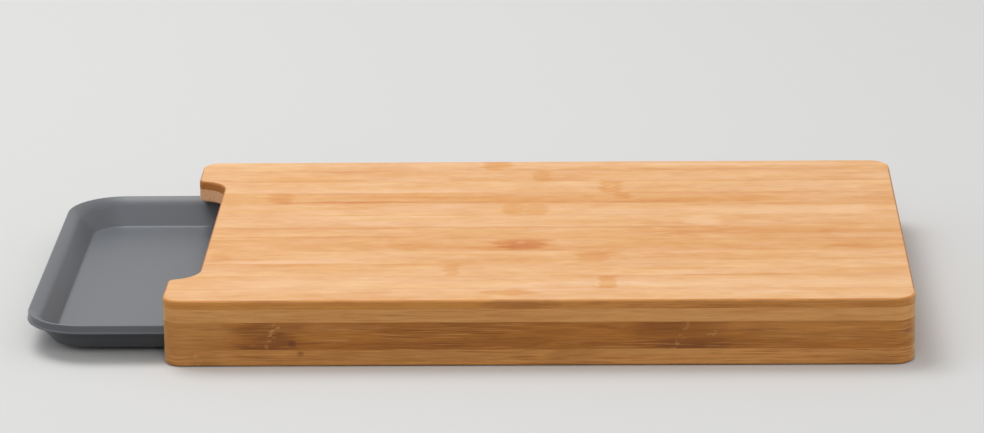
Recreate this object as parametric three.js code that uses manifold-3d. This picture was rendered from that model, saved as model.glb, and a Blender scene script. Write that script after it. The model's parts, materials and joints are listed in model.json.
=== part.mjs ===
// A bamboo cutting board with a scrape-off cut-out in its open end and a grey plastic tray that slides out
// under the slab.
// Millimetres, +Z up. X runs from the open end to the closed end, Y from the front to the back.
// The origin lies under the middle of the whole part, tray drawn out, on the surface that the board stands on.
import * as THREE from 'three';
import { mergeVertices } from 'three/addons/utils/BufferGeometryUtils.js';
import Module from 'manifold-3d';

// Board
const boardLength = 400;
const boardWidth = 264;
const cornerRadiusOpenEnd = 10;
const cornerRadiusClosedEnd = 12;
const edgeRound = 1.5;

// Layers, from the top down, and the strips that the slab is pressed from
const facePly = 5;
const corePly = 7.5;
const upperLamella = 15;
const lowerLamella = 9.5;
const stripWidth = 22.5;
const glueLine = 0.1;

// Cut-out in the open end of the slab
const cutOutDepth = 16;
const cutOutSideInset = 34.8;
const cutOutSplay = THREE.MathUtils.degToRad(20);
const cutOutTipRadius = 4;
const cutOutInnerRadius = 16;

// Rails under the slab
const railWidth = 20;
const endRailThickness = 20;

// Tray
const trayDrawnOut = 77;
const trayStopGap = 1;
const trayBaseAboveTable = 3;
const trayHeight = 17;
const trayWall = 2.2;
const trayCornerRadius = 32;
const trayInset = 10;
const trayWallLean = THREE.MathUtils.degToRad(36);
const trayFloorRadius = 2.5;
const shoulderRadius = 14;
const shoulderStart = THREE.MathUtils.degToRad(20);
const rimWidth = 1.2;
const rimRound = 0.7;
const lipHeight = 5;
const lipWidth = 4;

// Fits of the tray in its grooves
const lipSideClearance = 0.6;
const lipUnderClearance = 0.3;
const lipOverClearance = 0.5;
const wallClearance = 1;

// Fineness of the round shapes, and how far a cutting body runs past what it cuts
const cornerSteps = 6;
const edgeSteps = 3;
const traySteps = 8;
const filletSteps = 5;
const overrun = 5;

// Heights and places that follow from the sizes above
const slabThickness = facePly + corePly;
const faceStrips = Math.round(boardWidth / stripWidth);
const railHeight = upperLamella + lowerLamella;
const boardHeight = railHeight + slabThickness;
const openEnd = -boardLength / 2;
const closedEnd = boardLength / 2;
const endRailFace = closedEnd - endRailThickness;
const trayLength = boardLength - endRailThickness - trayStopGap;
const trayWidth = boardWidth - 2 * trayInset;
const rimTop = trayBaseAboveTable + trayHeight;
const lipBottom = rimTop - lipHeight;

// The tray's section: places are an inset from the rim's outer edge and a height over the base.
// Inside, the wall rolls off the rim over a wide shoulder and runs straight to the floor's fillet.
const shoulderCentre = [
  rimWidth - shoulderRadius * Math.sin(shoulderStart),
  trayHeight - shoulderRadius * Math.cos(shoulderStart),
];
const shoulderFoot = [
  shoulderCentre[0] + shoulderRadius * Math.cos(trayWallLean),
  shoulderCentre[1] + shoulderRadius * Math.sin(trayWallLean),
];
const filletTop = trayWall + trayFloorRadius * (1 - Math.sin(trayWallLean));
const floorEdge = shoulderFoot[0] + (shoulderFoot[1] - filletTop) * Math.tan(trayWallLean)
  + trayFloorRadius * Math.cos(trayWallLean);
// Outside, the wall runs straight from the lip's foot to a fillet round the floor's one.
const lipFoot = trayHeight - lipHeight;
const outerFilletRadius = trayFloorRadius + trayWall;
const outerWallRun = (floorEdge - outerFilletRadius * Math.cos(trayWallLean) - lipWidth)
  / (lipFoot - outerFilletRadius * (1 - Math.sin(trayWallLean)));

const wasm = await Module();
wasm.setup();

function toSolid(geometry) {
  const bare = geometry.clone();
  bare.deleteAttribute('normal');
  bare.deleteAttribute('uv');
  const merged = mergeVertices(bare);
  return new wasm.Manifold(new wasm.Mesh({
    numProp: 3,
    vertProperties: Float32Array.from(merged.attributes.position.array),
    triVerts: Uint32Array.from(merged.index.array),
  }));
}

function toGeometry(solid) {
  const mesh = solid.getMesh();
  const geometry = new THREE.BufferGeometry();
  geometry.setAttribute('position', new THREE.BufferAttribute(Float32Array.from(mesh.vertProperties), 3));
  geometry.setIndex(new THREE.BufferAttribute(Uint32Array.from(mesh.triVerts), 1));
  geometry.computeVertexNormals();
  return geometry;
}

function material(color, roughness) {
  return new THREE.MeshStandardMaterial({ color, roughness, metalness: 0 });
}

function piece(name, geometry, itsMaterial) {
  const mesh = new THREE.Mesh(geometry, itsMaterial);
  mesh.name = name;
  return mesh;
}

// A box between two corners
function boxBetween(x0, x1, y0, y1, z0, z1) {
  const geometry = new THREE.BoxGeometry(x1 - x0, y1 - y0, z1 - z0);
  geometry.translate((x0 + x1) / 2, (y0 + y1) / 2, (z0 + z1) / 2);
  return toSolid(geometry);
}

// A layer across the whole board between two heights and two places along Y
function layer(y0, y1, z0, z1) {
  return boxBetween(openEnd - overrun, closedEnd + overrun, y0, y1, z0, z1);
}

// A section drawn in Y and Z, run along X
function alongX(outline, x0, x1) {
  const shape = new THREE.Shape(outline.map(([y, z]) => new THREE.Vector2(y, z)));
  const geometry = new THREE.ExtrudeGeometry(shape, { depth: x1 - x0, bevelEnabled: false });
  const axes = new THREE.Matrix4().makeBasis(
    new THREE.Vector3(0, 1, 0), new THREE.Vector3(0, 0, 1), new THREE.Vector3(1, 0, 0));
  geometry.applyMatrix4(axes);
  geometry.translate(x0, 0, 0);
  return toSolid(geometry);
}

// Points of an arc between two angles, both ends included
function arcPoints(x, y, radius, from, to, steps) {
  const points = [];
  for (let i = 0; i <= steps; i += 1) {
    const angle = from + (to - from) * i / steps;
    points.push([x + radius * Math.cos(angle), y + radius * Math.sin(angle)]);
  }
  return points;
}

// The front half of the cut-out's edge, from the open end inwards: a rounded tip, a splayed side and
// a hollow corner
function cutOutHalf() {
  const turnAcross = 1 - Math.sin(cutOutSplay);
  const tipEnd = [
    openEnd + cutOutTipRadius * turnAcross,
    cutOutSideInset - boardWidth / 2 + cutOutTipRadius * Math.cos(cutOutSplay),
  ];
  const hollowStartX = openEnd + cutOutDepth - cutOutInnerRadius * turnAcross;
  const hollowStartY = tipEnd[1] + (hollowStartX - tipEnd[0]) * Math.tan(cutOutSplay);
  const tip = arcPoints(openEnd + cutOutTipRadius, cutOutSideInset - boardWidth / 2, cutOutTipRadius,
    Math.PI, Math.PI / 2 + cutOutSplay, cornerSteps);
  const hollow = arcPoints(openEnd + cutOutDepth - cutOutInnerRadius,
    hollowStartY + cutOutInnerRadius * Math.cos(cutOutSplay), cutOutInnerRadius,
    cutOutSplay - Math.PI / 2, 0, cornerSteps);
  return [...tip, ...hollow];
}

// The board's outline seen from above, with or without the cut-out, anticlockwise from the front corner
// of the open end
function boardOutline(withCutOut) {
  const half = boardWidth / 2;
  const corner = (x, y, radius, quarter) =>
    arcPoints(x, y, radius, quarter * Math.PI / 2, (quarter + 1) * Math.PI / 2, cornerSteps);
  const open = cornerRadiusOpenEnd;
  const closed = cornerRadiusClosedEnd;
  const outline = [
    ...corner(openEnd + open, open - half, open, 2),
    ...corner(closedEnd - closed, closed - half, closed, 3),
    ...corner(closedEnd - closed, half - closed, closed, 0),
    ...corner(openEnd + open, half - open, open, 1),
  ];
  if (withCutOut) {
    const front = cutOutHalf();
    const back = front.map(([x, y]) => [x, -y]);
    outline.push(...back, ...front.reverse());
  }
  return outline;
}

// The whole board as one rounded blank that its layers are cut from
function boardBlank(withCutOut) {
  const shape = new THREE.Shape(boardOutline(withCutOut).map(([x, y]) => new THREE.Vector2(x, y)));
  const geometry = new THREE.ExtrudeGeometry(shape, {
    depth: boardHeight - 2 * edgeRound,
    bevelEnabled: true,
    bevelThickness: edgeRound,
    bevelSize: edgeRound,
    bevelOffset: -edgeRound,
    bevelSegments: edgeSteps,
  });
  geometry.translate(0, 0, edgeRound);
  return toSolid(geometry);
}

// One ply of the slab, pressed from strips that lie side by side along X
function pressedPly(name, blank, bottom, top, seams, itsMaterial) {
  const ply = new THREE.Group();
  for (let i = 0; i + 1 < seams.length; i += 1) {
    const strip = blank.intersect(layer(seams[i] + glueLine / 2, seams[i + 1] - glueLine / 2, bottom, top));
    const number = String(i + 1).padStart(2, '0');
    ply.add(piece(`${name}_${number}`, toGeometry(strip), itsMaterial.clone()));
  }
  return ply;
}

// Seams of a ply of so many strips: they lie evenly about the middle, and the board's edge trims the outer two
function seamsOf(count) {
  const seams = [-boardWidth / 2 - overrun];
  for (let i = 1; i < count; i += 1) seams.push((i - count / 2) * stripWidth);
  seams.push(boardWidth / 2 + overrun);
  return seams;
}

// The slab: a face ply over a core ply whose seams lie under the middles of the face strips
function slab() {
  const group = new THREE.Group();
  const blank = boardBlank(true);
  const coreTop = boardHeight - facePly;
  const bamboo = material(0xf0be8c, 0.55);
  const darkerBamboo = material(0xb07b48, 0.6);
  const faceSeams = seamsOf(faceStrips);
  const coreSeams = seamsOf(faceStrips + 1);
  group.add(pressedPly('face_strip', blank, coreTop, boardHeight + overrun, faceSeams, bamboo));
  group.add(pressedPly('core_strip', blank, railHeight, coreTop - glueLine, coreSeams, darkerBamboo));
  return group;
}

// The room that the tray runs in, cut into the inner side of a rail: a groove for its lip over a sloping
// rebate. side is -1 for the front rail and 1 for the back rail.
function trayWay(side) {
  const grooveFloor = boardWidth / 2 - trayInset + lipSideClearance;
  const grooveTop = rimTop + lipOverClearance;
  const ledgeTop = lipBottom - lipUnderClearance;
  const ledgeEdge = boardWidth / 2 - trayInset - lipWidth - lipUnderClearance * outerWallRun + wallClearance;
  const past = boardWidth / 2 - railWidth - overrun;
  const pastFoot = ledgeTop - (ledgeEdge - past) / outerWallRun;
  return alongX([
    [side * grooveFloor, ledgeTop],
    [side * ledgeEdge, ledgeTop],
    [side * past, pastFoot],
    [side * past, grooveTop],
    [side * grooveFloor, grooveTop],
  ], openEnd - overrun, endRailFace);
}

// A rail in two lamellae, cut from its body
function railLamellae(name, body, itsMaterial) {
  const group = new THREE.Group();
  const past = boardWidth / 2 + overrun;
  const upper = body.intersect(layer(-past, past, lowerLamella, railHeight - glueLine));
  const lower = body.intersect(layer(-past, past, -overrun, lowerLamella - glueLine));
  group.add(piece(`${name}_upper`, toGeometry(upper), itsMaterial.clone()));
  group.add(piece(`${name}_lower`, toGeometry(lower), itsMaterial.clone()));
  return group;
}

// One long rail: a bar of the blank along one side, with the room for the tray cut out of it
function sideRail(name, side, blank, itsMaterial) {
  const inner = side * (boardWidth / 2 - railWidth);
  const outer = side * (boardWidth / 2 + overrun);
  const bar = layer(Math.min(inner, outer), Math.max(inner, outer), -overrun, boardHeight + overrun);
  return railLamellae(name, blank.intersect(bar).subtract(trayWay(side)), itsMaterial);
}

// The two long rails, and the end rail between them at the closed end
function rails() {
  const group = new THREE.Group();
  const blank = boardBlank(false);
  const bamboo = material(0x9a6736, 0.6);
  const between = boardWidth / 2 - railWidth - glueLine;
  const end = blank.intersect(boxBetween(endRailFace, closedEnd + overrun, -between, between,
    -overrun, boardHeight + overrun));
  group.add(sideRail('front_rail', -1, blank, bamboo));
  group.add(sideRail('back_rail', 1, blank, bamboo));
  group.add(railLamellae('end_rail', end, bamboo));
  return group;
}

// Section of the tray's wall from the base outside, over the lip, to the floor inside
function traySection() {
  const centre = trayWall + trayFloorRadius;
  const down = -Math.PI / 2;
  const wallSide = -Math.PI + trayWallLean;
  const up = Math.PI / 2;
  return [
    ...arcPoints(floorEdge, centre, outerFilletRadius, down, wallSide, filletSteps),
    [lipWidth, lipFoot],
    [rimRound / 2, lipFoot],
    [0, lipFoot + rimRound / 2],
    ...arcPoints(rimRound, trayHeight - rimRound, rimRound, Math.PI, up, edgeSteps),
    ...arcPoints(...shoulderCentre, shoulderRadius, up - shoulderStart, trayWallLean, filletSteps),
    ...arcPoints(floorEdge, centre, trayFloorRadius, wallSide, down, filletSteps),
  ];
}

// One ring of points round the tray at an inset from its rim
function trayRing(inset, height) {
  const radius = trayCornerRadius - inset;
  const x = trayLength / 2 - trayCornerRadius;
  const y = trayWidth / 2 - trayCornerRadius;
  const quarter = Math.PI / 2;
  return [
    ...arcPoints(x, y, radius, 0, quarter, traySteps),
    ...arcPoints(-x, y, radius, quarter, 2 * quarter, traySteps),
    ...arcPoints(-x, -y, radius, 2 * quarter, 3 * quarter, traySteps),
    ...arcPoints(x, -y, radius, 3 * quarter, 4 * quarter, traySteps),
  ].map(([px, py]) => [px, py, height]);
}

// The tray: a shell with leaning walls, a round-cornered floor and a lip round its rim
function tray() {
  const rings = traySection().map(([inset, height]) => trayRing(inset, height));
  const size = rings[0].length;
  const index = [];
  for (let r = 0; r + 1 < rings.length; r += 1) {
    for (let i = 0; i < size; i += 1) {
      const next = (i + 1) % size;
      const [a, b, c, d] = [r * size + i, r * size + next, (r + 1) * size + next, (r + 1) * size + i];
      index.push(a, b, c, a, c, d);
    }
  }
  const lastRing = (rings.length - 1) * size;
  for (let i = 1; i + 1 < size; i += 1) {
    index.push(0, i + 1, i);
    index.push(lastRing, lastRing + i, lastRing + i + 1);
  }
  const geometry = new THREE.BufferGeometry();
  geometry.setAttribute('position', new THREE.Float32BufferAttribute(rings.flat(2), 3));
  geometry.setIndex(index);
  geometry.computeVertexNormals();
  const mesh = piece('tray', geometry, material(0x8c8e92, 0.45));
  mesh.position.set(openEnd - trayDrawnOut + trayLength / 2, 0, trayBaseAboveTable);
  return mesh;
}

const group = new THREE.Group();
group.position.x = trayDrawnOut / 2;
group.add(slab());
group.add(rails());
group.add(tray());

export default group;
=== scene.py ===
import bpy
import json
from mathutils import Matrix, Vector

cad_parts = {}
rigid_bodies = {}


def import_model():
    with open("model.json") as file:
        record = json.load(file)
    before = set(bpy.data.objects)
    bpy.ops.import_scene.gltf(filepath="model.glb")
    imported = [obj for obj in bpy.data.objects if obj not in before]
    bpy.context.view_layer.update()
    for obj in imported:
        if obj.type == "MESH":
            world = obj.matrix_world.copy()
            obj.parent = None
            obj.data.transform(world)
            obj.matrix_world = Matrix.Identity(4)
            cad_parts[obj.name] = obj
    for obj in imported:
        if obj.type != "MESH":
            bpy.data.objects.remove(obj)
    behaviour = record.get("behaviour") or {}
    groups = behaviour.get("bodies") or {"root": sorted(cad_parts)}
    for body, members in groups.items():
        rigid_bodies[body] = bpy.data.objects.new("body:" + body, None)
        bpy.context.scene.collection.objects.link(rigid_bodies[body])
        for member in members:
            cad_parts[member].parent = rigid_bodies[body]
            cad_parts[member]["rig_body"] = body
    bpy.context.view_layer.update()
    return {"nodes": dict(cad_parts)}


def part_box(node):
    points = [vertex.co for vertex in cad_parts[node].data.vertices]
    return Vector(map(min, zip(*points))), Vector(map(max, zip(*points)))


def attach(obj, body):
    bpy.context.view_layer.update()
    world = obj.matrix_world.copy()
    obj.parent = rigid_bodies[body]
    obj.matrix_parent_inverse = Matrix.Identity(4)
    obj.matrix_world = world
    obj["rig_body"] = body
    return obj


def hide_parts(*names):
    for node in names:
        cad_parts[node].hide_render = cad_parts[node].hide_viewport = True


bl_info = {
    "name": "Cutting Board with Tray",
    "version": (1, 0, 0),
    "blender": (4, 5, 0),
    "location": "3D Viewport > Sidebar > Board",
    "description": "Models a laminated bamboo cutting board with a pull-out tray",
    "category": "Add Mesh",
}

import json
import math

import bmesh
import bpy
from bpy.props import FloatProperty, FloatVectorProperty, IntProperty, PointerProperty
from mathutils import Matrix, Vector

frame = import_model()

FACE_NODES = sorted(name for name in frame["nodes"] if name.startswith("face_strip"))
CORE_NODES = sorted(name for name in frame["nodes"] if name.startswith("core_strip"))

# In metres: the width of a glue line, how far cutters reach past what they cut, and how far one cut
# overlaps the next
GLUE = 0.0001
PAST = 0.005
OVERLAP = 0.001
# Tolerances in metres: of the saw, for one and the same place, for a place on a rounding, and for a corner
SAW_TOLERANCE = 1e-7
SAME = 1e-6
ON_ROUNDING = 1e-5
AT_CORNER = 1e-4
# Sides that meet at less than this are shaded as one smooth surface
SMOOTH_BELOW = math.radians(32)
# An edge belongs to an outline if its sides meet at more than this, in radians
OUTLINE_OVER = 1
# Steps of the tray's roundings: at its rim, over its shoulder and round its floor
RIM_STEPS = 4
SHOULDER_STEPS = 10
FLOOR_STEPS = 8

# Where the lamps stand and the point that all of them face
LAMP_PLACES = {
    "key": (-0.9, 0.81, 2.5),
    "fill": (0.1, -2.4, 1.6),
    "side": (-2.3, -0.5, 0.8),
    "right": (2.4, -1.2, 0.25),
}
LAMP_TARGET = (0, 0, 0.02)

# Tints that are multiplied or screened in: of yellower bamboo, of glue seams on the top and on the sides,
# and the painted highlight screened onto the upright corners
YELLOW_TINT = (1.0, 1.0, 0.86)
SEAM_TINT = (0.84, 0.64, 0.42)
LINE_TINT = (0.55, 0.42, 0.32)
CORNER_HIGHLIGHT = (0.62, 0.34, 0.13)
# The zone of the upright corners: where it starts and from where it counts in full, in metres from the middle
CORNER_ZONE = (0.112, 0.118)
# How far to either side the shade of a seam on the top and on the sides ends, and within what it is in full
SEAM_SPREAD = (0.0014, 0.0002)
LINE_SPREAD = (0.0006, 0.0001)
# In metres: marks shorter than this are dots, and the depth of the relief of bamboo and of plastic
SMALL_DOT = 0.006
BAMBOO_RELIEF = 0.00004
PLASTIC_RELIEF = 0.000012
# The darkest and lightest tones of the sides and of the end grain, as factors on their own colour
SIDE_DARKEST = (0.80, 0.72, 0.58)
SIDE_LIGHTEST = (1.14, 1.14, 1.14)
END_DARKEST = (0.80, 0.74, 0.68)
END_LIGHTEST = (1.06, 1.06, 1.06)

# How dark each face strip is, from 0 to 1, and how deep the glue seam behind each one looks, from the front
STRIP_TONES = (0.34, 0.28, 0.46, 0.46, 0.76, 0.66, 0.36, 0.50, 0.64, 0.34, 0.48, 0.34)
SEAM_DEPTHS = (0.65, 0.70, 0.30, 0.30, 0.50, 0.90, 0.45, 1.00, 0.40, 0.65, 0.55)

# Growth marks of the bamboo: place along the board from its open end and across it from its front, length and
# breadth, in metres, strength from 0 to 1, and how square the mark is. Most are about as broad as a strip.
TOP_MARKS = (
    (0.1850, 0.0130, 0.030, 0.010, 0.85, 2),
    (0.2370, 0.0310, 0.009, 0.036, 0.85, 4),
    (0.1525, 0.0540, 0.008, 0.030, 0.70, 4),
    (0.1620, 0.0560, 0.020, 0.018, 0.30, 2),
    (0.2280, 0.0775, 0.018, 0.026, 0.85, 2),
    (0.2360, 0.0810, 0.018, 0.012, 0.50, 2),
    (0.0240, 0.0770, 0.012, 0.020, 0.45, 2),
    (0.1890, 0.1010, 0.034, 0.026, 1.00, 2),
    (0.1890, 0.0980, 0.030, 0.020, 1.00, 2),
    (0.1890, 0.1000, 0.024, 0.010, 0.25, 2),
    (0.1830, 0.1670, 0.012, 0.032, 0.75, 2),
    (0.1960, 0.1670, 0.014, 0.028, 0.70, 2),
    (0.3900, 0.1660, 0.016, 0.026, 0.45, 2),
    (0.0500, 0.1910, 0.015, 0.026, 0.80, 2),
    (0.2450, 0.1940, 0.010, 0.018, 0.85, 2),
    (0.2380, 0.2110, 0.012, 0.030, 0.90, 3),
    (0.1985, 0.2350, 0.010, 0.030, 0.75, 3),
    (0.1725, 0.2560, 0.018, 0.022, 1.00, 2),
)
# Long thin streaks of darker fibres, given the same way
TOP_STREAKS = (
    (0.3100, 0.0425, 0.090, 0.0040, 0.80, 2),
    (0.3600, 0.0480, 0.110, 0.0160, 0.40, 2),
    (0.2900, 0.0550, 0.110, 0.0050, 0.40, 2),
    (0.0900, 0.0530, 0.110, 0.0045, 0.40, 2),
    (0.3850, 0.0940, 0.060, 0.0080, 0.60, 2),
    (0.0700, 0.1134, 0.110, 0.0035, 0.65, 2),
    (0.3200, 0.1240, 0.170, 0.0130, 0.45, 2),
    (0.3600, 0.1360, 0.090, 0.0060, 0.35, 2),
    (0.0700, 0.1305, 0.130, 0.0045, 0.65, 2),
    (0.2620, 0.1310, 0.080, 0.0035, 0.80, 2),
    (0.1300, 0.1806, 0.220, 0.0040, 0.80, 2),
    (0.0970, 0.1808, 0.060, 0.0045, 1.00, 2),
    (0.2600, 0.1806, 0.060, 0.0040, 0.80, 2),
    (0.3100, 0.1985, 0.130, 0.0060, 0.50, 2),
    (0.0600, 0.2250, 0.090, 0.0045, 0.50, 2),
    (0.2900, 0.2450, 0.190, 0.0070, 0.55, 2),
    (0.0850, 0.2420, 0.040, 0.0060, 0.60, 2),
)
# Light lines and patches in and beside the marks
TOP_LIGHTS = (
    (0.1890, 0.1030, 0.0050, 0.006, 0.18, 2),
    (0.2900, 0.1450, 0.0200, 0.022, 0.55, 2),
    (0.2380, 0.2115, 0.0040, 0.008, 0.30, 2),
    (0.1000, 0.1530, 0.0900, 0.008, 0.40, 2),
    (0.3300, 0.0300, 0.1100, 0.014, 0.50, 2),
    (0.0600, 0.0680, 0.0700, 0.006, 0.65, 2),
    (0.0700, 0.0300, 0.0900, 0.012, 0.40, 2),
    (0.3300, 0.1650, 0.1300, 0.016, 0.40, 2),
    (0.3300, 0.2560, 0.1200, 0.006, 0.50, 2),
)
# The same on the front, with the height over the table in place of the place across
FRONT_MARKS = (
    (0.0575, 0.0170, 0.036, 0.040, 0.45, 2),
    (0.0560, 0.0108, 0.044, 0.006, 0.45, 2),
    (0.0610, 0.0136, 0.024, 0.009, 0.60, 2),
    (0.0480, 0.0222, 0.020, 0.005, 0.40, 2),
    (0.0690, 0.0128, 0.0046, 0.0036, 1.00, 2),
    (0.0735, 0.0072, 0.0036, 0.0028, 0.80, 2),
    (0.0220, 0.0050, 0.016, 0.012, 0.22, 2),
    (0.0300, 0.0125, 0.030, 0.004, 0.35, 2),
    (0.1300, 0.0170, 0.100, 0.026, 0.18, 2),
    (0.1650, 0.0130, 0.110, 0.007, 0.28, 2),
    (0.1900, 0.0345, 0.034, 0.008, 0.65, 2),
    (0.2200, 0.0040, 0.028, 0.014, 0.32, 2),
    (0.2080, 0.0150, 0.040, 0.010, 0.20, 2),
    (0.2775, 0.0170, 0.050, 0.044, 0.45, 2),
    (0.2830, 0.0120, 0.042, 0.006, 0.60, 2),
    (0.2680, 0.0222, 0.032, 0.005, 0.40, 2),
    (0.2790, 0.0345, 0.060, 0.010, 0.30, 2),
    (0.3150, 0.0195, 0.030, 0.003, 0.40, 2),
    (0.3750, 0.0345, 0.040, 0.010, 0.25, 2),
    (0.3750, 0.0040, 0.050, 0.006, 0.40, 2),
)
FRONT_LIGHTS = (
    (0.0190, 0.0048, 0.0020, 0.010, 0.45, 2),
    (0.0595, 0.0218, 0.0040, 0.004, 0.50, 2),
    (0.0580, 0.0182, 0.0036, 0.004, 0.45, 2),
    (0.0560, 0.0135, 0.0024, 0.008, 0.40, 2),
    (0.2775, 0.0222, 0.0030, 0.006, 0.38, 2),
    (0.2760, 0.0180, 0.0026, 0.006, 0.40, 2),
    (0.2732, 0.0125, 0.0024, 0.009, 0.42, 2),
    (0.2940, 0.0176, 0.0080, 0.003, 0.45, 2),
)
# Paler parts of the front, given the same way
FRONT_PALE = (
    (0.0150, 0.0180, 0.046, 0.030, 0.38, 2),
    (0.0900, 0.0215, 0.060, 0.004, 0.20, 2),
    (0.2560, 0.0078, 0.090, 0.003, 0.45, 2),
    (0.3650, 0.0068, 0.040, 0.003, 0.40, 2),
    (0.3500, 0.0200, 0.110, 0.014, 0.18, 2),
    (0.1350, 0.0062, 0.080, 0.005, 0.25, 2),
)
BACK_MARKS = (
    (0.1180, 0.0170, 0.034, 0.036, 0.60, 2),
    (0.1220, 0.0120, 0.020, 0.006, 0.60, 2),
    (0.3270, 0.0170, 0.040, 0.036, 0.55, 2),
)
BACK_LIGHTS = (
    (0.1190, 0.0170, 0.0015, 0.016, 0.65, 4),
    (0.3262, 0.0160, 0.0015, 0.018, 0.60, 4),
)


def length(name, description, default):
    return FloatProperty(name=name, description=description, default=default, min=0, unit="LENGTH",
                         precision=4)


def lamp_power(name, description, default):
    return FloatProperty(name=name, description=description, default=default, subtype="POWER")


def angle(name, description, degrees):
    return FloatProperty(name=name, description=description, default=math.radians(degrees), subtype="ANGLE")


def colour(name, description, default):
    return FloatVectorProperty(name=name, description=description, default=default, min=0, max=1, size=3,
                               subtype="COLOR")


class BoardSizes(bpy.types.PropertyGroup):
    open_corner: length("Open corner", "Radius of the upright corners at the tray's end", 0.010)
    closed_corner: length("Closed corner", "Radius of the upright corners at the other end", 0.012)
    edge_round: length("Edge round", "Radius of the worked edges", 0.0015)
    cut_out_depth: length("Cut-out depth", "How far the cut-out reaches into the slab", 0.016)
    cut_out_inset: length("Cut-out inset", "From a long side to where the cut-out's tip starts", 0.0348)
    cut_out_splay: angle("Cut-out splay", "Angle between a side of the cut-out and the board's length", 20)
    cut_out_tip: length("Cut-out tip", "Radius of the tips beside the cut-out", 0.004)
    cut_out_hollow: length("Cut-out hollow", "Radius of the cut-out's inner corners", 0.016)
    rail_width: length("Rail width", "Width of the long rails", 0.020)
    lip_side_gap: length("Lip side gap", "Room beside the tray's lip in its groove", 0.0006)
    lip_under_gap: length("Lip under gap", "Room between the tray's lip and the ledge", 0.0003)
    lip_over_gap: length("Lip over gap", "Room over the tray's rim", 0.0005)
    wall_gap: length("Wall gap", "Room between the tray's wall and the ledge", 0.001)


class TraySizes(bpy.types.PropertyGroup):
    wall: length("Wall", "Thickness of the tray", 0.0022)
    wall_lean: angle("Wall lean", "Lean of the inner walls from upright", 36)
    corner: length("Corner", "Radius of the rim's corners seen from above", 0.032)
    floor_round: length("Floor round", "Radius between the floor and the walls", 0.0025)
    shoulder: length("Shoulder", "Radius over which the walls roll off the rim", 0.014)
    shoulder_start: angle("Shoulder start", "Slope where the rim meets the shoulder", 20)
    rim_width: length("Rim width", "Width of the rim up to the shoulder", 0.0012)
    rim_round: length("Rim round", "Radius of the rim's outer edge", 0.0007)
    lip_height: length("Lip height", "Height of the lip", 0.005)
    lip_width: length("Lip width", "Width of the lip's foot", 0.004)
    bead: length("Bead", "How far the bead at the lip's foot stands out", 0.0005)
    steps: IntProperty(name="Steps", description="Steps round a corner of the tray", default=20, min=4,
                       max=48)


class BoardColours(bpy.types.PropertyGroup):
    light: colour("Light bamboo", "Lightest tone of the top face", (0.972, 0.592, 0.318))
    dark: colour("Dark bamboo", "Darkest tone of the top face", (0.748, 0.303, 0.056))
    mark: colour("Growth mark", "Tint of the growth marks on the top face", (0.908, 0.740, 0.420))
    face_side: colour("Face side", "Sides of the face ply", (0.780, 0.330, 0.073))
    core_side: colour("Core side", "Sides of the core ply", (0.965, 0.452, 0.150))
    upper_side: colour("Upper rail", "Sides of the rails' upper lamella", (0.570, 0.214, 0.034))
    lower_side: colour("Lower rail", "Sides of the rails' lower lamella", (0.740, 0.325, 0.088))
    # Real end grain, set darker still as painted shade for the cut-out's wall, which gets little light; the
    # same colour serves the other ends
    face_end_and_shade: colour("Face end", "End grain of the face ply and the rails' upper lamella",
                     (0.475, 0.160, 0.025))
    core_end: colour("Core end", "End grain of the core ply and the rails' lower lamella",
                     (0.820, 0.455, 0.235))
    side_mark: colour("Side mark", "Tint of the growth marks on the sides", (0.550, 0.440, 0.330))
    side_light: colour("Side light", "Pale fibres and flecks on the sides", (0.860, 0.420, 0.130))
    tray: colour("Tray", "Satin plastic of the tray", (0.146, 0.156, 0.174))


class StageSettings(bpy.types.PropertyGroup):
    floor: colour("Floor", "Colour of the floor as the camera sees it", (0.760, 0.760, 0.750))
    floor_bounce: colour("Floor bounce", "Colour of the floor for the light that it sends back",
                         (0.035, 0.034, 0.032))
    floor_size: length("Floor size", "Side of the floor", 9)
    floor_drop: length("Floor drop", "How far the floor lies under the board", 0.0001)
    world: FloatProperty(name="World light", description="Strength of the even light all round", default=0.45)
    key_power: lamp_power("Key power", "Power of the lamp overhead", 36.5)
    key_size: length("Key size", "Side of the lamp overhead", 1.6)
    fill_power: lamp_power("Fill power", "Power of the lamp in front", 14.8)
    fill_size: length("Fill size", "Side of the lamp in front", 1.4)
    side_power: lamp_power("Side power", "Power of the lamp at the tray's end", 5)
    side_size: length("Side size", "Side of the lamp at the tray's end", 1.1)
    right_power: lamp_power("Right power", "Power of the low lamp at the closed end", 6)
    right_size: length("Right size", "Side of the low lamp at the closed end", 0.5)
    camera_place: FloatVectorProperty(name="Camera", description="Place of the camera", size=3,
                                      default=(0.0825, -2.34736, 0.75266), subtype="TRANSLATION",
                                      unit="LENGTH")
    camera_turn: angle("Turn", "Turn of the camera to the left", 1.7521)
    camera_down: angle("Down", "How far the camera looks down", 16.8106)
    camera_roll: angle("Roll", "Roll of the camera", -0.7534)
    lens: FloatProperty(name="Lens", description="Focal length", default=161.09, unit="CAMERA")
    film: FloatProperty(name="Film", description="Width of the film", default=36, unit="CAMERA")
    nearest: length("Nearest", "Nearest place that the camera sees", 0.01)
    farthest: length("Farthest", "Farthest place that the camera sees", 50)


# Modelling by hand: each of these is a short run of Blender's own tools


def take(*objects):
    """Leaves edit mode and selects these objects and nothing else. The last one becomes the active one."""
    if bpy.context.mode != "OBJECT":
        bpy.ops.object.mode_set(mode="OBJECT")
    bpy.ops.object.select_all(action="DESELECT")
    for item in objects:
        item.select_set(True)
        bpy.context.view_layer.objects.active = item


def named(name):
    """Names the new object and its mesh, and writes its place and scale into its mesh."""
    item = bpy.context.object
    bpy.ops.object.transform_apply(location=True, rotation=True, scale=True)
    item.name = item.data.name = name
    return item


def block(name, low, high):
    """A block between two corners."""
    take()
    low, high = Vector(low), Vector(high)
    bpy.ops.mesh.primitive_cube_add(size=1, location=(low + high) / 2)
    bpy.context.object.scale = high - low
    return named(name)


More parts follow.
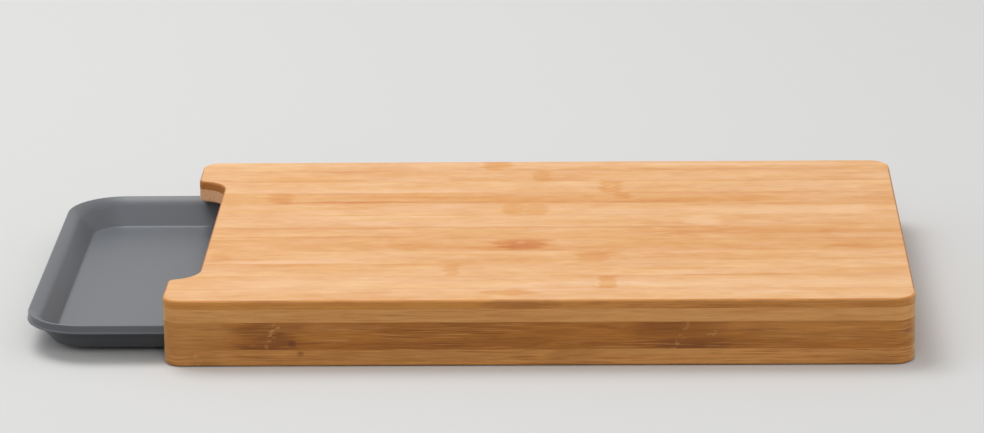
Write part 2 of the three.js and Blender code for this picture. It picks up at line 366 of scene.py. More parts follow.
def choose(item, kind, test):
    """Goes into edit mode with the vertices or edges that pass the test selected."""
    take(item)
    bpy.ops.object.mode_set(mode="EDIT")
    bpy.ops.mesh.select_mode(type=kind)
    bpy.ops.mesh.select_all(action="DESELECT")
    mesh = bmesh.from_edit_mesh(item.data)
    for part in {"VERT": mesh.verts, "EDGE": mesh.edges}[kind]:
        if test(part):
            part.select_set(True)
    mesh.select_flush_mode()
    bmesh.update_edit_mesh(item.data)


def finish_edit():
    """Cleans the mesh up and leaves edit mode."""
    bpy.ops.mesh.select_all(action="SELECT")
    bpy.ops.mesh.remove_doubles(threshold=SAME)
    bpy.ops.mesh.normals_make_consistent(inside=False)
    bpy.ops.object.mode_set(mode="OBJECT")


def round_uprights(item, places, radius, corner_angle=math.pi / 2, steps=8):
    """Rounds the upright edges at these places, where two sides meet at the angle."""
    def upright(edge):
        a, b = (vertex.co.xy for vertex in edge.verts)
        return (a - b).length < SAME and any((a - Vector(place)).length < AT_CORNER for place in places)

    choose(item, "EDGE", upright)
    offset = radius / math.tan(corner_angle / 2)
    bpy.ops.mesh.bevel(offset=offset, segments=steps, affect="EDGES", profile=0.5)
    finish_edit()


def round_level_edges(item, height, radius, steps=5, where=lambda place: True):
    """Rounds the outline at one height, for each edge with both ends where the test allows it."""
    def on_outline(edge):
        ends = [vertex.co for vertex in edge.verts]
        level = all(abs(end.z - height) < SAME for end in ends)
        return level and all(map(where, ends)) and edge.calc_face_angle(0) > OUTLINE_OVER

    choose(item, "EDGE", on_outline)
    bpy.ops.mesh.bevel(offset=radius, segments=steps, affect="EDGES", profile=0.5)
    finish_edit()


def cut_away(item, cutter):
    """Cuts one body out of another and throws the cutter away."""
    take(item)
    bpy.ops.object.modifier_add(type="BOOLEAN")
    modifier = item.modifiers[-1]
    modifier.operation, modifier.solver, modifier.object = "DIFFERENCE", "EXACT", cutter
    bpy.ops.object.modifier_apply(modifier=modifier.name)
    throw_away(cutter)


def throw_away(*objects):
    take(*objects)
    bpy.ops.object.delete()


def saw(item, cuts):
    """Saws along planes. Each is a point and a direction, and what lies on that side falls off."""
    take(item)
    bpy.ops.object.mode_set(mode="EDIT")
    for point, away in cuts:
        bpy.ops.mesh.select_all(action="SELECT")
        bpy.ops.mesh.bisect(plane_co=point, plane_no=away, use_fill=True, clear_outer=True,
                            threshold=SAW_TOLERANCE)
    finish_edit()


def sawn_copy(item, name, cuts):
    """A copy with its own mesh, sawn along planes."""
    take(item)
    bpy.ops.object.duplicate(linked=False)
    copy = bpy.context.object
    copy.name = copy.data.name = name
    saw(copy, cuts)
    return copy


def settle(piece, node, material):
    """Smooths a finished piece, gives it its material and puts it in the place of its node."""
    take(piece)
    bpy.ops.object.shade_smooth_by_angle(angle=SMOOTH_BELOW)
    bpy.ops.object.modifier_add(type="WEIGHTED_NORMAL")
    modifier = piece.modifiers[-1]
    modifier.keep_sharp = True
    bpy.ops.object.modifier_apply(modifier=modifier.name)
    piece.data.materials.clear()
    piece.data.materials.append(material)
    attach(piece, frame["nodes"][node]["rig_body"])
    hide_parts(node)


def along_board(marks, x, across):
    """Marks with their places in the frame, given X of the open end, and Y of the front or Z of the table."""
    return [(x + along, across + over, *rest) for along, over, *rest in marks]


def reach(nodes):
    """The lowest and highest corners of some nodes together."""
    lows, highs = zip(*(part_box(node) for node in nodes))
    return Vector(map(min, zip(*lows))), Vector(map(max, zip(*highs)))


# Materials: a recipe is a node tree, written in the order in which it works


def tinted(tint, factors):
    """A colour with its parts times the factors, and none over 1."""
    return tuple(min(1, part * factor) for part, factor in zip(tint, factors))


class Recipe:
    """A material's node tree, with its steps as methods"""

    def __init__(self, name, crossways=False):
        """With crossways set, X and Y change places, so that what is drawn along X runs along Y."""
        self.material = bpy.data.materials.new(name)
        self.material.use_nodes = True
        self.tree = self.material.node_tree
        self.shader = self.tree.nodes["Principled BSDF"]
        source = self.tree.nodes.new("ShaderNodeTexCoord")
        self.place, self.where = self.parts(source.outputs["Object"], crossways)
        self.facing = self.parts(source.outputs["Normal"], crossways)[1]

    def parts(self, vector, crossways):
        """A vector and its three parts, with the first two changed over if it lies crossways."""
        apart = self.tree.nodes.new("ShaderNodeSeparateXYZ")
        self.join(vector, apart.inputs[0])
        x, y, z = apart.outputs
        if not crossways:
            return vector, (x, y, z)
        again = self.tree.nodes.new("ShaderNodeCombineXYZ")
        for part, socket in zip((y, x, z), again.inputs):
            self.join(part, socket)
        return again.outputs[0], (y, x, z)

    def join(self, value, socket):
        """Links a node's output to a socket, or sets the socket to a value."""
        if isinstance(value, bpy.types.NodeSocket):
            self.tree.links.new(value, socket)
        elif socket.type == "RGBA" and len(value) == 3:
            socket.default_value = (*value, 1)
        else:
            socket.default_value = value

    def sum(self, operation, *values, clamp=False):
        node = self.tree.nodes.new("ShaderNodeMath")
        node.operation, node.use_clamp = operation, clamp
        for value, socket in zip(values, node.inputs):
            self.join(value, socket)
        return node.outputs[0]

    def ramp(self, value, start, end, low=0.0, high=1.0):
        """Goes smoothly from low to high as the value goes from start to end."""
        node = self.tree.nodes.new("ShaderNodeMapRange")
        node.interpolation_type = "SMOOTHSTEP"
        for given, socket in zip((value, start, end, low, high), node.inputs):
            self.join(given, socket)
        return node.outputs[0]

    def blend(self, share, a, b, how="MIX"):
        node = self.tree.nodes.new("ShaderNodeMix")
        node.data_type, node.blend_type = "RGBA", how
        self.join(share, node.inputs[0])
        self.join(a, node.inputs[6])
        self.join(b, node.inputs[7])
        return node.outputs[2]

    def texture(self, kind, scale, seed):
        """A texture with its own scale along each direction, in waves per metre. The seed moves it."""
        mapping = self.tree.nodes.new("ShaderNodeMapping")
        mapping.inputs["Location"].default_value = (seed * 3.7, seed * 11.3, seed * 7.9)
        mapping.inputs["Scale"].default_value = scale
        self.join(self.place, mapping.inputs["Vector"])
        node = self.tree.nodes.new(kind)
        self.join(mapping.outputs[0], node.inputs["Vector"])
        node.inputs["Scale"].default_value = 1
        return node

    def noise(self, scale, seed, detail=2.0, roughness=0.5):
        node = self.texture("ShaderNodeTexNoise", scale, seed)
        node.inputs["Detail"].default_value = detail
        node.inputs["Roughness"].default_value = roughness
        return node.outputs["Fac"]

    def cells(self, scale, seed):
        return self.texture("ShaderNodeTexVoronoi", scale, seed).outputs["Distance"]

    def about(self, value, weight):
        """How far a noise is from its middle, times a weight."""
        return self.sum("MULTIPLY", self.sum("SUBTRACT", value, 0.5), weight)

    def near(self, value, place, outside, inside):
        """1 at a place, and falling off on both sides of it from inside to outside."""
        return self.ramp(self.sum("ABSOLUTE", self.sum("SUBTRACT", value, place)), outside, inside)

    def sway(self, seed, width):
        """Lets each texture from here on wander a little across the fibres, less so in height."""
        drift = self.about(self.noise((10, 16, 16), seed, 1.0), width)
        shift = self.tree.nodes.new("ShaderNodeCombineXYZ")
        self.join(drift, shift.inputs[1])
        self.join(self.sum("MULTIPLY", drift, 0.3), shift.inputs[2])
        moved = self.tree.nodes.new("ShaderNodeVectorMath")
        self.join(self.place, moved.inputs[0])
        self.join(shift.outputs[0], moved.inputs[1])
        self.place = moved.outputs[0]

    def spot(self, u, v, mark, wobble, outside=1.8, inside=0.1):
        """Strength of one growth mark at a place on the surface. It falls off from inside to outside."""
        centre_u, centre_v, size_u, size_v, strength, square = mark
        du = self.sum("ABSOLUTE", self.sum("MULTIPLY", self.sum("SUBTRACT", u, centre_u), 2 / size_u))
        dv = self.sum("ABSOLUTE", self.sum("MULTIPLY", self.sum("SUBTRACT", v, centre_v), 2 / size_v))
        far = self.sum("ADD", self.sum("POWER", du, square), self.sum("POWER", dv, square))
        return self.ramp(self.sum("ADD", far, wobble), outside, inside, 0.0, strength)

    def finish(self, base, roughness, height, distance):
        """Gives the shader its colour, its roughness and a relief of this height."""
        self.join(base, self.shader.inputs["Base Color"])
        self.join(roughness, self.shader.inputs["Roughness"])
        bump = self.tree.nodes.new("ShaderNodeBump")
        bump.inputs["Strength"].default_value = 1
        bump.inputs["Distance"].default_value = distance
        self.join(height, bump.inputs["Height"])
        self.join(bump.outputs[0], self.shader.inputs["Normal"])
        return self.material


def bamboo(name, seed, tone, side, end, marks=(), lights=(), side_marks=(), side_lights=(), side_pale=(),
           seams=(), lines=(), coarse=1.0, crossways=False):
    """Bamboo with its fibres along X. tone runs from light to dark, side is the colour of the upright faces
    and end that of the cut ends. marks and lights lie on the top; side_marks, side_lights and side_pale on
    the sides. seams are places across with the depth of a glue seam there, lines are heights with the same,
    and coarse is how strong the grain of the sides is. With crossways set the fibres run along Y."""
    colours = bpy.context.scene.board_colours
    mix = Recipe(name, crossways)
    x, y, z = mix.where
    nx, _, nz = mix.facing
    # 0 on level faces and 1 on upright ones, with the change on the rounded edges
    upright = mix.ramp(mix.sum("MULTIPLY", nz, nz), 0.995, 0.70)
    # The top's grain, from the broadest streaks to the finest fibres
    mix.sway(seed + 0.91, 0.004)
    long = mix.noise((1.4, 50, 50), seed, 2.0)
    middle = mix.noise((11, 56, 56), seed + 0.37, 2.0)
    short = mix.noise((42, 100, 100), seed + 0.55, 2.0)
    specks = mix.noise((110, 300, 300), seed + 0.67, 1.0)
    fibres = mix.noise((36, 900, 900), seed + 0.71, 3.0, 0.6)
    fine = mix.noise((90, 3200, 3200), seed + 0.13, 2.0, 0.6)

    # The top is a little paler towards the open end
    shade = mix.sum("ADD", mix.sum("MULTIPLY", x, 0.2), tone)
    for grain, weight in ((long, 1.35), (middle, 1.15), (short, 1.0), (specks, 0.7), (fibres, 0.75)):
        shade = mix.sum("ADD", mix.about(grain, weight), shade)
    # The range from light to dark takes in shades a little under 0 and over 1
    margin = 0.25
    span = 1 + 2 * margin
    share = mix.sum("MULTIPLY_ADD", shade, 1 / span, margin / span, clamp=True)
    top = mix.blend(share, colours.light, colours.dark)
    # Here and there it is a little yellower
    yellow = mix.ramp(mix.noise((16, 120, 120), seed + 0.41, 2.0), 0.36, 0.62)
    top = mix.blend(yellow, top, YELLOW_TINT, "MULTIPLY")
    # The marks have feathery outlines, and each fibre draws them a little to and fro along X
    feather = mix.about(mix.noise((70, 360, 360), seed + 0.29, 3.0, 0.6), 3.6)
    ragged = mix.sum("ADD", x, mix.about(mix.noise((14, 330, 330), seed + 0.33, 2.0), 0.010))
    for mark in marks:
        top = mix.blend(mix.spot(ragged, y, mark, feather, 1.5, 0.4), top, colours.mark, "MULTIPLY")
    for mark in lights:
        top = mix.blend(mix.spot(ragged, y, mark, feather), top, colours.light)
    for place, depth in seams:
        line = mix.near(y, place, *SEAM_SPREAD)
        broken = mix.ramp(mix.noise((9, 40, 40), seed + place * 90, 1.0), 0.3, 0.6, 0.25, 1.0)
        share = mix.sum("MULTIPLY", mix.sum("MULTIPLY", line, broken), 0.5 * depth)
        top = mix.blend(share, top, SEAM_TINT, "MULTIPLY")

    # The sides' grain
    wide = mix.noise((9, 30, 210), seed + 0.19, 2.0)
    strands = mix.noise((46, 60, 620), seed + 0.83, 3.0, 0.6)
    hairs = mix.noise((90, 150, 1500), seed + 0.47, 2.0, 0.6)
    shade = mix.sum("ADD", mix.about(wide, 1.3 * coarse), 0.5)
    for grain, weight in ((strands, 1.5), (hairs, 0.9)):
        shade = mix.sum("ADD", mix.about(grain, weight * coarse), shade)
    flank = mix.blend(mix.sum("ADD", shade, 0, clamp=True), tinted(side, SIDE_LIGHTEST),
                      tinted(side, SIDE_DARKEST))
    # Single pale and dark threads, in groups
    groups = mix.ramp(mix.noise((12, 20, 110), seed + 0.77, 2.0), 0.38, 0.58)
    pale = mix.ramp(mix.noise((34, 120, 2100), seed + 0.61, 1.0), 0.53, 0.68, 0.0, 0.36 * coarse)
    dusk = mix.ramp(mix.noise((38, 120, 1500), seed + 0.07, 1.0), 0.45, 0.30, 0.0, 0.50 * coarse)
    flank = mix.blend(mix.sum("MULTIPLY", dusk, groups), flank, colours.side_mark, "MULTIPLY")
    for mark in side_pale:
        flank = mix.blend(mix.spot(ragged, z, mark, feather), flank, colours.side_light)
    for mark in side_marks:
        # Small dots keep sharp outlines
        along, wobble = (x, 0.0) if mark[2] < SMALL_DOT else (ragged, feather)
        flank = mix.blend(mix.spot(along, z, mark, wobble), flank, colours.side_mark, "MULTIPLY")
    flank = mix.blend(mix.sum("MULTIPLY", pale, groups), flank, colours.side_light)
    flecks = mix.ramp(mix.noise((330, 60, 620), seed + 0.53, 1.0), 0.46, 0.58)
    for mark in side_lights:
        share = mix.sum("MULTIPLY", mix.spot(ragged, z, mark, feather), flecks)
        flank = mix.blend(share, flank, colours.side_light)
    for height, depth in lines:
        share = mix.sum("MULTIPLY", mix.near(z, height, *LINE_SPREAD), depth)
        flank = mix.blend(share, flank, LINE_TINT, "MULTIPLY")

    # Faces across the fibres show their pores: in the cut-out even the slanting ones, and at the board's
    # corners only those that look straight along the fibres
    pores = mix.ramp(mix.cells((40, 1150, 1150), seed), 0.18, 0.42)
    along_fibres = mix.sum("MULTIPLY", nx, nx)
    aside = mix.sum("ABSOLUTE", y)
    cut_end = mix.ramp(along_fibres, mix.ramp(aside, *CORNER_ZONE, 0.0, 0.90),
                       mix.ramp(aside, *CORNER_ZONE, 0.08, 1.0))
    flank = mix.blend(cut_end, flank, mix.blend(pores, tinted(end, END_DARKEST), tinted(end, END_LIGHTEST)))
    # Painted highlight: the board's upright corners are screened paler, standing in for light caught on their
    # roundings
    # corner and outer mask where the painted highlight goes
    corner = mix.sum("MULTIPLY", mix.ramp(along_fibres, 0.45, 0.85), mix.ramp(along_fibres, 1.0, 0.95))
    outer = mix.ramp(aside, *CORNER_ZONE, 0.0, 0.4)
    flank = mix.blend(mix.sum("MULTIPLY", corner, outer), flank, CORNER_HIGHLIGHT, "SCREEN")
    base = mix.blend(upright, top, flank)

    roughness = mix.sum("ADD", mix.about(middle, 0.16), mix.sum("ADD", mix.about(fine, 0.12), 0.47))
    height = mix.sum("ADD", mix.sum("MULTIPLY", fibres, 0.6), mix.sum("MULTIPLY", fine, 0.4))
    return mix.finish(base, roughness, height, BAMBOO_RELIEF)


def tray_plastic(name):
    """Moulded satin plastic: a fine even grain, a little mottling and faint rub marks along the tray."""
    colours = bpy.context.scene.board_colours
    mix = Recipe(name)
    mottle = mix.noise((14, 14, 14), 2.1, 2.0)
    grain = mix.noise((2600, 2600, 2600), 5.2, 2.0)
    rub = mix.noise((8, 500, 500), 8.4, 2.0)
    darker, lighter, rubbed = (tinted(colours.tray, [factor] * 3) for factor in (0.95, 1.05, 1.25))
    base = mix.blend(mottle, darker, lighter)
    base = mix.blend(mix.ramp(rub, 0.62, 0.75, 0.0, 0.12), base, rubbed)
    roughness = mix.sum("ADD", mix.about(grain, 0.10), mix.sum("ADD", mix.about(mottle, 0.08), 0.35))
    return mix.finish(base, roughness, grain, PLASTIC_RELIEF)


def arc(x, z, radius, start, end, steps):
    """Points of an arc between two angles, both ends included."""
    places = (start + (end - start) * i / steps for i in range(steps + 1))
    return [(x + radius * math.cos(a), z + radius * math.sin(a)) for a in places]


def tray_section(sizes, height):
    """Insets from the lip's outer edge with heights over the base: first over the rim to the floor, then
    under the lip to the base. Last comes how far the outer wall runs in for each metre down."""
    lean, small, up = sizes.wall_lean, sizes.rim_round, math.pi / 2
    centre = (sizes.rim_width - sizes.shoulder * math.sin(sizes.shoulder_start),
              height - sizes.shoulder * math.cos(sizes.shoulder_start))
    fillet_top = sizes.wall + sizes.floor_round * (1 - math.sin(lean))
    drop = centre[1] + sizes.shoulder * math.sin(lean) - fillet_top
    floor_edge = (centre[0] + sizes.shoulder * math.cos(lean) + drop * math.tan(lean)
                  + sizes.floor_round * math.cos(lean))
    fillet_centre = sizes.wall + sizes.floor_round
    inside = arc(sizes.bead + small, height - small, small, math.pi, up, RIM_STEPS)
    inside += arc(*centre, sizes.shoulder, up - sizes.shoulder_start, lean, SHOULDER_STEPS)
    inside += arc(floor_edge, fillet_centre, sizes.floor_round, -math.pi + lean, -up, FLOOR_STEPS)
    foot = height - sizes.lip_height
    # The bead's outer face and its rounded foot
    nick = small * 0.15
    bead = [(0, foot + small), (0, foot + small / 2), (nick, foot + nick), (small / 2, foot)]
    wall = arc(floor_edge, fillet_centre, sizes.floor_round + sizes.wall, -math.pi + lean, -up, FLOOR_STEPS)
    run = (wall[0][0] - sizes.lip_width) / (foot - wall[0][1])
    return inside, [*bead, (sizes.lip_width, foot), *wall], run


class PressedSlab(bpy.types.Operator):
    """Models the slab's face ply and core ply as strips of bamboo"""
    bl_idname = "cutting_board.pressed_slab"
    bl_label = "Pressed Slab"

    def execute(self, context):
        blank = self.blank(context.scene.board_sizes)
        colours = context.scene.board_colours
        low, high = reach(FACE_NODES)
        joint = low.z
        marks = along_board(TOP_MARKS + TOP_STREAKS, low.x, low.y)
        lights = along_board(TOP_LIGHTS, low.x, low.y)
        front_marks = along_board(FRONT_MARKS, low.x, 0)
        for number, node in enumerate(FACE_NODES):
            front, back = self.sides(node, low.y, high.y)
            own_marks = [mark for mark in marks if front < mark[1] < back]
            own_lights = [mark for mark in lights if front < mark[1] < back]
            on_side = [mark for mark in front_marks if number == 0 and mark[1] > joint]
            seams = [(place, SEAM_DEPTHS[i]) for i, place in ((number - 1, front), (number, back))
                     if low.y < place < high.y]
            seed = number * 1.7 + 0.4
            material = bamboo(f"bamboo_face_{number + 1:02d}", seed, STRIP_TONES[number],
                              tuple(colours.face_side), tuple(colours.face_end_and_shade),
                              own_marks, own_lights, on_side, seams=seams, lines=[(joint, 0.15)])
            strip = sawn_copy(blank, f"face_lath_{number + 1:02d}", [
                *self.planes(front, back, low.y, high.y), ((0, 0, joint), (0, 0, -1))])
            settle(strip, node, material)
        for number, node in enumerate(CORE_NODES):
            front, back = self.sides(node, low.y, high.y)
            seed = number * 1.3 + 31
            tone = 0.55 + 0.1 * (number % 3)
            material = bamboo(f"bamboo_core_{number + 1:02d}", seed, tone,
                              tuple(colours.core_side), tuple(colours.core_end),
                              seams=[(front, 0.6), (back, 0.6)], lines=[(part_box(node)[0].z, 0.3)])
            strip = sawn_copy(blank, f"core_lath_{number + 1:02d}", [
                *self.planes(front, back, low.y, high.y), ((0, 0, joint), (0, 0, 1))])
            settle(strip, node, material)
        throw_away(blank)
        return {"FINISHED"}

    def sides(self, node, front_edge, back_edge):
        """Front and back side of a strip: the board's edge or the middle of a seam."""
        low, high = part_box(node)
        front = low.y if low.y - front_edge < GLUE else low.y - GLUE / 2
        back = high.y if back_edge - high.y < GLUE else high.y + GLUE / 2
        return front, back

    def planes(self, front, back, front_edge, back_edge):
        """Cuts that free a strip, with none where its side is the board's edge."""
        cuts = []
        if front - front_edge > GLUE:
            cuts.append(((0, front, 0), (0, -1, 0)))
        if back_edge - back > GLUE:
            cuts.append(((0, back, 0), (0, 1, 0)))
        return cuts

    def blank(self, sizes):
        """The whole slab in one piece, with its cut-out and its worked edges."""
        low, high = reach(FACE_NODES + CORE_NODES)
        blank = block("slab_blank", low, high)
        round_uprights(blank, [low.xy, (low.x, high.y)], sizes.open_corner)
        round_uprights(blank, [high.xy, (high.x, low.y)], sizes.closed_corner)
        splay = math.tan(sizes.cut_out_splay)
        meeting = math.pi / 2 + sizes.cut_out_splay
        mouth = high.y - sizes.cut_out_inset - sizes.cut_out_tip / math.tan(meeting / 2)
        inner = low.x + sizes.cut_out_depth
        outer_half = mouth + PAST * splay
        inner_half = mouth - sizes.cut_out_depth * splay
        cutter = block("cut_out", (low.x - PAST, -outer_half, low.z - PAST),
                       (inner, outer_half, high.z + PAST))
        choose(cutter, "VERT", lambda vertex: abs(vertex.co.x - inner) < SAME)
        bpy.ops.transform.resize(value=(1, inner_half / outer_half, 1), center_override=(inner, 0, 0))
        finish_edit()
        cut_away(blank, cutter)
        round_uprights(blank, [(low.x, -mouth), (low.x, mouth)], sizes.cut_out_tip, meeting)
        hollows = [(inner, -inner_half), (inner, inner_half)]
        round_uprights(blank, hollows, sizes.cut_out_hollow, meeting, steps=12)
        round_level_edges(blank, high.z, sizes.edge_round)
        self.round_lower_edges(blank, low.z, high.y - sizes.rail_width, sizes.edge_round)
        return blank

    def round_lower_edges(self, blank, height, free, radius):
        """Rounds the lower edges at the open end, where no rail lies under them. free is how far to either
        side of the middle that is."""
        take(blank)
        bpy.ops.object.mode_set(mode="EDIT")
        for side in (-1, 1):
            bpy.ops.mesh.select_all(action="SELECT")
            bpy.ops.mesh.bisect(plane_co=(0, side * free, 0), plane_no=(0, side, 0), threshold=SAW_TOLERANCE)
        bpy.ops.object.mode_set(mode="OBJECT")
        round_level_edges(blank, height, radius,
                          where=lambda place: abs(place.y) < free + SAME and place.x < 0)

        def run_out(vertex):
            """Whether a vertex is where the lower rounding runs out to a point beside a rail."""
            away = abs(vertex.co.y) - free - radius
            return abs(away) < ON_ROUNDING and abs(vertex.co.z - height) < ON_ROUNDING

        choose(blank, "EDGE", lambda edge: any(map(run_out, edge.verts)))
        bpy.ops.mesh.mark_sharp()
        bpy.ops.object.mode_set(mode="OBJECT")


class Rails(bpy.types.Operator):
    """Models the two long rails and the end rail, each in two lamellae"""
    bl_idname = "cutting_board.rails"
    bl_label = "Rails"

    def execute(self, context):
        sizes = context.scene.board_sizes
        low, high = reach([f"{side}_rail_{half}" for side in ("front", "back")
                           for half in ("upper", "lower")])
        high.z += GLUE
        blank = block("rail_blank", low, high)
        round_uprights(blank, [low.xy, (low.x, high.y)], sizes.open_corner)
        round_uprights(blank, [high.xy, (high.x, low.y)], sizes.closed_corner)
        round_level_edges(blank, low.z, sizes.edge_round)
        inner = high.y - sizes.rail_width
        end_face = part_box("end_rail_upper")[0].x
        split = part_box("front_rail_upper")[0].z
        for side, name, growth in ((-1, "front", (FRONT_MARKS, FRONT_LIGHTS, FRONT_PALE)),
                                   (1, "back", (BACK_MARKS, BACK_LIGHTS, ()))):
            bar = sawn_copy(blank, f"{name}_bar", [((0, side * inner, 0), (0, -side, 0))])
            self.cut_tray_way(bar, side, low.x, end_face, high.y, sizes)
            growth = [along_board(places, low.x, 0) for places in growth]
            self.halves(bar, name, split, growth, seed=side * 2.2 + 60)
        bar = sawn_copy(blank, "end_bar", [
            ((end_face, 0, 0), (-1, 0, 0)), ((0, inner, 0), (0, 1, 0)), ((0, -inner, 0), (0, -1, 0))])
        self.halves(bar, "end", split, [[], [], []], seed=71)
        throw_away(blank)
        return {"FINISHED"}

    def halves(self, bar, name, split, growth, seed):
        """Saws a bar into its upper and lower lamella. growth holds the marks, lights and pale parts."""
        colours = bpy.context.scene.board_colours
        for half, away, tone, side, end, slot, line in (
                ("upper", -1, 0.85, colours.upper_side, colours.face_end_and_shade, "bamboo_rail", 0.2),
                ("lower", 1, 0.65, colours.lower_side, colours.core_end, "bamboo_core", 0.0)):
            piece = sawn_copy(bar, f"{name}_bar_{half}", [((0, 0, split), (0, 0, away))])
            here = [[mark for mark in places if (mark[1] - split) * away < 0] for places in growth]
            material = bamboo(f"bamboo_{name}_{half}", seed + away * 0.9, tone, tuple(side), tuple(end),
                              side_marks=here[0], side_lights=here[1], side_pale=here[2],
                              lines=[(split, line)], coarse=1.5, crossways=name == "end")
            settle(piece, f"{name}_rail_{half}", material)
        throw_away(bar)

    def cut_tray_way(self, bar, side, start, end, edge, sizes):
        """Cuts the room that the tray runs in: a groove for its lip over a sloping rebate."""
        tray_low, tray_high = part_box("tray")
        shape = bpy.context.scene.tray_sizes
        run = tray_section(shape, tray_high.z - tray_low.z)[-1]
        ledge_top = tray_high.z - shape.lip_height - sizes.lip_under_gap
        groove_floor = tray_high.y + sizes.lip_side_gap
        ledge_edge = tray_high.y - shape.lip_width - sizes.lip_under_gap * run + sizes.wall_gap
        past = edge - sizes.rail_width - PAST

        def room(name, y, low_z, high_z):
            a, b = sorted((side * past, side * y))
            return block(name, (start - PAST, a, low_z), (end, b, high_z))

        groove = room("groove", groove_floor, ledge_top, tray_high.z + sizes.lip_over_gap)
        cut_away(bar, groove)
        rebate = room("rebate", ledge_edge, ledge_top - (ledge_edge - past) / run - PAST, ledge_top + OVERLAP)
        away = Vector((0, side, -run))
        saw(rebate, [((0, side * ledge_edge, ledge_top), away)])
        cut_away(bar, rebate)


class PullOutTray(bpy.types.Operator):
    """Models the tray as one moulded shell with leaning walls and a turned-down lip"""
    bl_idname = "cutting_board.pull_out_tray"
    bl_label = "Pull-out Tray"

    def execute(self, context):
        sizes = context.scene.tray_sizes
        low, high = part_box("tray")
        inside, outside, _ = tray_section(sizes, high.z - low.z)
        upper = self.skin("tray_inside", low, high, inside, 1)
        choose(upper, "EDGE", lambda edge: edge.is_boundary)
        down = outside[0][1] + sizes.bead - inside[0][1]
        bpy.ops.mesh.extrude_edges_move(TRANSFORM_OT_translate={"value": (0, 0, down)})
        lower = self.skin("tray_outside", low, high, outside, -1)
        take(lower, upper)
        bpy.ops.object.join()
        tray = named("moulded_tray")
        choose(tray, "EDGE", lambda edge: edge.is_boundary)
        bpy.ops.mesh.bridge_edge_loops()
        finish_edit()
        settle(tray, "tray", tray_plastic("satin_tray_plastic"))
        return {"FINISHED"}

    def skin(self, name, low, high, section, up):
        """One skin of the shell: a flat plate with round corners, inset step by step along the section.
        Up is 1 for the inside and -1 for the outside, which faces down."""
        sizes = bpy.context.scene.tray_sizes
        take()
        middle, start = (low + high) / 2, section[0][0]
        bpy.ops.mesh.primitive_plane_add(size=1, location=(middle.x, middle.y, low.z + section[0][1]))
        bpy.context.object.scale = (high.x - low.x - 2 * start, high.y - low.y - 2 * start, 1)
        plate = named(name)
        choose(plate, "VERT", lambda vertex: True)
        bpy.ops.mesh.bevel(offset=sizes.corner - start, segments=sizes.steps, affect="VERTICES",
                           profile=0.5)
        bpy.ops.mesh.select_all(action="SELECT")
        if up < 0:
            bpy.ops.mesh.flip_normals()
        bpy.ops.mesh.select_mode(type="FACE")
        for (inset, height), (next_inset, next_height) in zip(section, section[1:]):
            bpy.ops.mesh.inset(thickness=next_inset - inset, depth=up * (next_height - height),
                               use_even_offset=True, use_boundary=True)
        bpy.ops.object.mode_set(mode="OBJECT")
        return plate


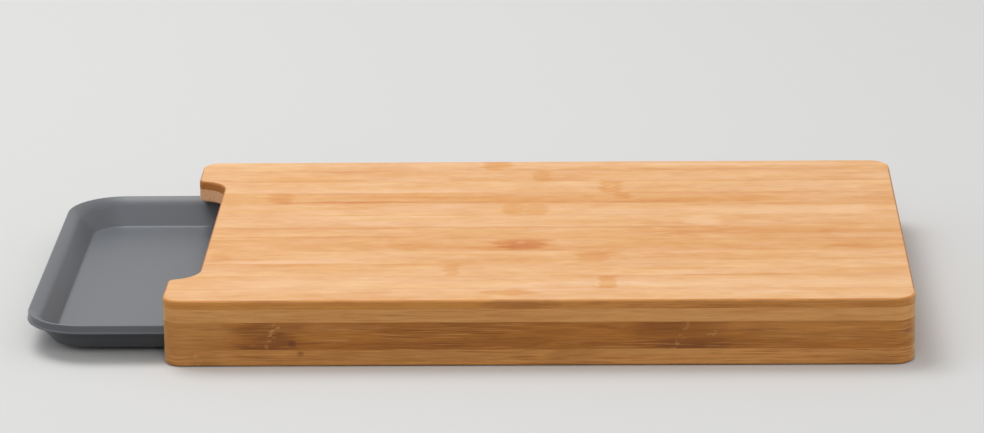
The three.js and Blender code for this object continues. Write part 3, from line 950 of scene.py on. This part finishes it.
class StudioStage(bpy.types.Operator):
    """Sets up the floor, the soft light, the camera and the view"""
    bl_idname = "cutting_board.studio_stage"
    bl_label = "Studio Stage"

    def execute(self, context):
        settings = context.scene.stage_settings
        self.floor(settings)
        self.world(settings)
        for name, place in LAMP_PLACES.items():
            size, power = (getattr(settings, f"{name}_{what}") for what in ("size", "power"))
            self.lamp(f"{name}_lamp", place, size, power)
        self.camera(settings)
        context.scene.view_settings.view_transform = "Standard"
        return {"FINISHED"}

    def floor(self, settings):
        take()
        bpy.ops.mesh.primitive_plane_add(size=settings.floor_size, location=(0, 0, -settings.floor_drop))
        floor = named("floor")
        material = bpy.data.materials.new("floor_paint")
        material.use_nodes = True
        tree = material.node_tree
        shader = tree.nodes["Principled BSDF"]
        shader.inputs["Roughness"].default_value = 0.9
        shader.inputs["Specular IOR Level"].default_value = 0.1
        mix = tree.nodes.new("ShaderNodeMix")
        mix.data_type = "RGBA"
        mix.inputs[6].default_value = (*settings.floor_bounce, 1)
        mix.inputs[7].default_value = (*settings.floor, 1)
        tree.links.new(self.seen(tree), mix.inputs[0])
        tree.links.new(mix.outputs[2], shader.inputs["Base Color"])
        floor.data.materials.append(material)

    def seen(self, tree):
        """1 for the rays that show the background itself: straight, in gloss or through something clear."""
        path = tree.nodes.new("ShaderNodeLightPath")
        total = path.outputs["Is Camera Ray"]
        for kind in ("Is Glossy Ray", "Is Transmission Ray"):
            add = tree.nodes.new("ShaderNodeMath")
            add.operation, add.use_clamp = "ADD", True
            tree.links.new(total, add.inputs[0])
            tree.links.new(path.outputs[kind], add.inputs[1])
            total = add.outputs[0]
        return total

    def world(self, settings):
        world = bpy.data.worlds.new("soft_room")
        bpy.context.scene.world = world
        world.use_nodes = True
        tree = world.node_tree
        light = tree.nodes["Background"]
        light.inputs["Color"].default_value = (1, 1, 1, 1)
        light.inputs["Strength"].default_value = settings.world
        shown = tree.nodes.new("ShaderNodeBackground")
        shown.inputs["Color"].default_value = (*settings.floor, 1)
        shown.inputs["Strength"].default_value = 1
        mix = tree.nodes.new("ShaderNodeMixShader")
        tree.links.new(self.seen(tree), mix.inputs[0])
        tree.links.new(light.outputs[0], mix.inputs[1])
        tree.links.new(shown.outputs[0], mix.inputs[2])
        tree.links.new(mix.outputs[0], tree.nodes["World Output"].inputs["Surface"])

    def lamp(self, name, place, size, power):
        take()
        aim = (Vector(LAMP_TARGET) - Vector(place)).to_track_quat("-Z", "Y").to_euler()
        bpy.ops.object.light_add(type="AREA", location=place, rotation=aim)
        lamp = bpy.context.object
        lamp.name = lamp.data.name = name
        lamp.data.shape = "SQUARE"
        lamp.data.size = size
        lamp.data.energy = power

    def camera(self, settings):
        take()
        turn = (Matrix.Rotation(settings.camera_turn, 3, "Z")
                @ Matrix.Rotation(math.pi / 2 - settings.camera_down, 3, "X")
                @ Matrix.Rotation(settings.camera_roll, 3, "Z"))
        bpy.ops.object.camera_add(location=settings.camera_place, rotation=turn.to_euler())
        camera = bpy.context.object
        camera.name = camera.data.name = "camera"
        camera.data.sensor_width = settings.film
        camera.data.lens = settings.lens
        camera.data.clip_start = settings.nearest
        camera.data.clip_end = settings.farthest
        bpy.context.scene.camera = camera


OPERATORS = (PressedSlab, Rails, PullOutTray, StudioStage)


class BoardPanel(bpy.types.Panel):
    """Lists the board's operators and their settings"""
    bl_idname = "VIEW3D_PT_cutting_board"
    bl_label = "Cutting Board"
    bl_space_type = "VIEW_3D"
    bl_region_type = "UI"
    bl_category = "Board"

    def draw(self, context):
        for operator in OPERATORS:
            self.layout.operator(operator.bl_idname)
        for settings in SETTINGS:
            group = getattr(context.scene, settings)
            box = self.layout.box()
            for name in group.bl_rna.properties.keys():
                if name not in ("rna_type", "name"):
                    box.prop(group, name)


SETTINGS = {
    "board_sizes": BoardSizes,
    "tray_sizes": TraySizes,
    "board_colours": BoardColours,
    "stage_settings": StageSettings,
}
CLASSES = (*SETTINGS.values(), *OPERATORS, BoardPanel)


def register():
    for item in CLASSES:
        bpy.utils.register_class(item)
    for name, group in SETTINGS.items():
        setattr(bpy.types.Scene, name, PointerProperty(type=group))


def unregister():
    for name in SETTINGS:
        delattr(bpy.types.Scene, name)
    for item in reversed(CLASSES):
        bpy.utils.unregister_class(item)


def main():
    register()
    bpy.ops.cutting_board.pressed_slab()
    bpy.ops.cutting_board.rails()
    bpy.ops.cutting_board.pull_out_tray()
    bpy.ops.cutting_board.studio_stage()


if __name__ == "__main__":
    main()
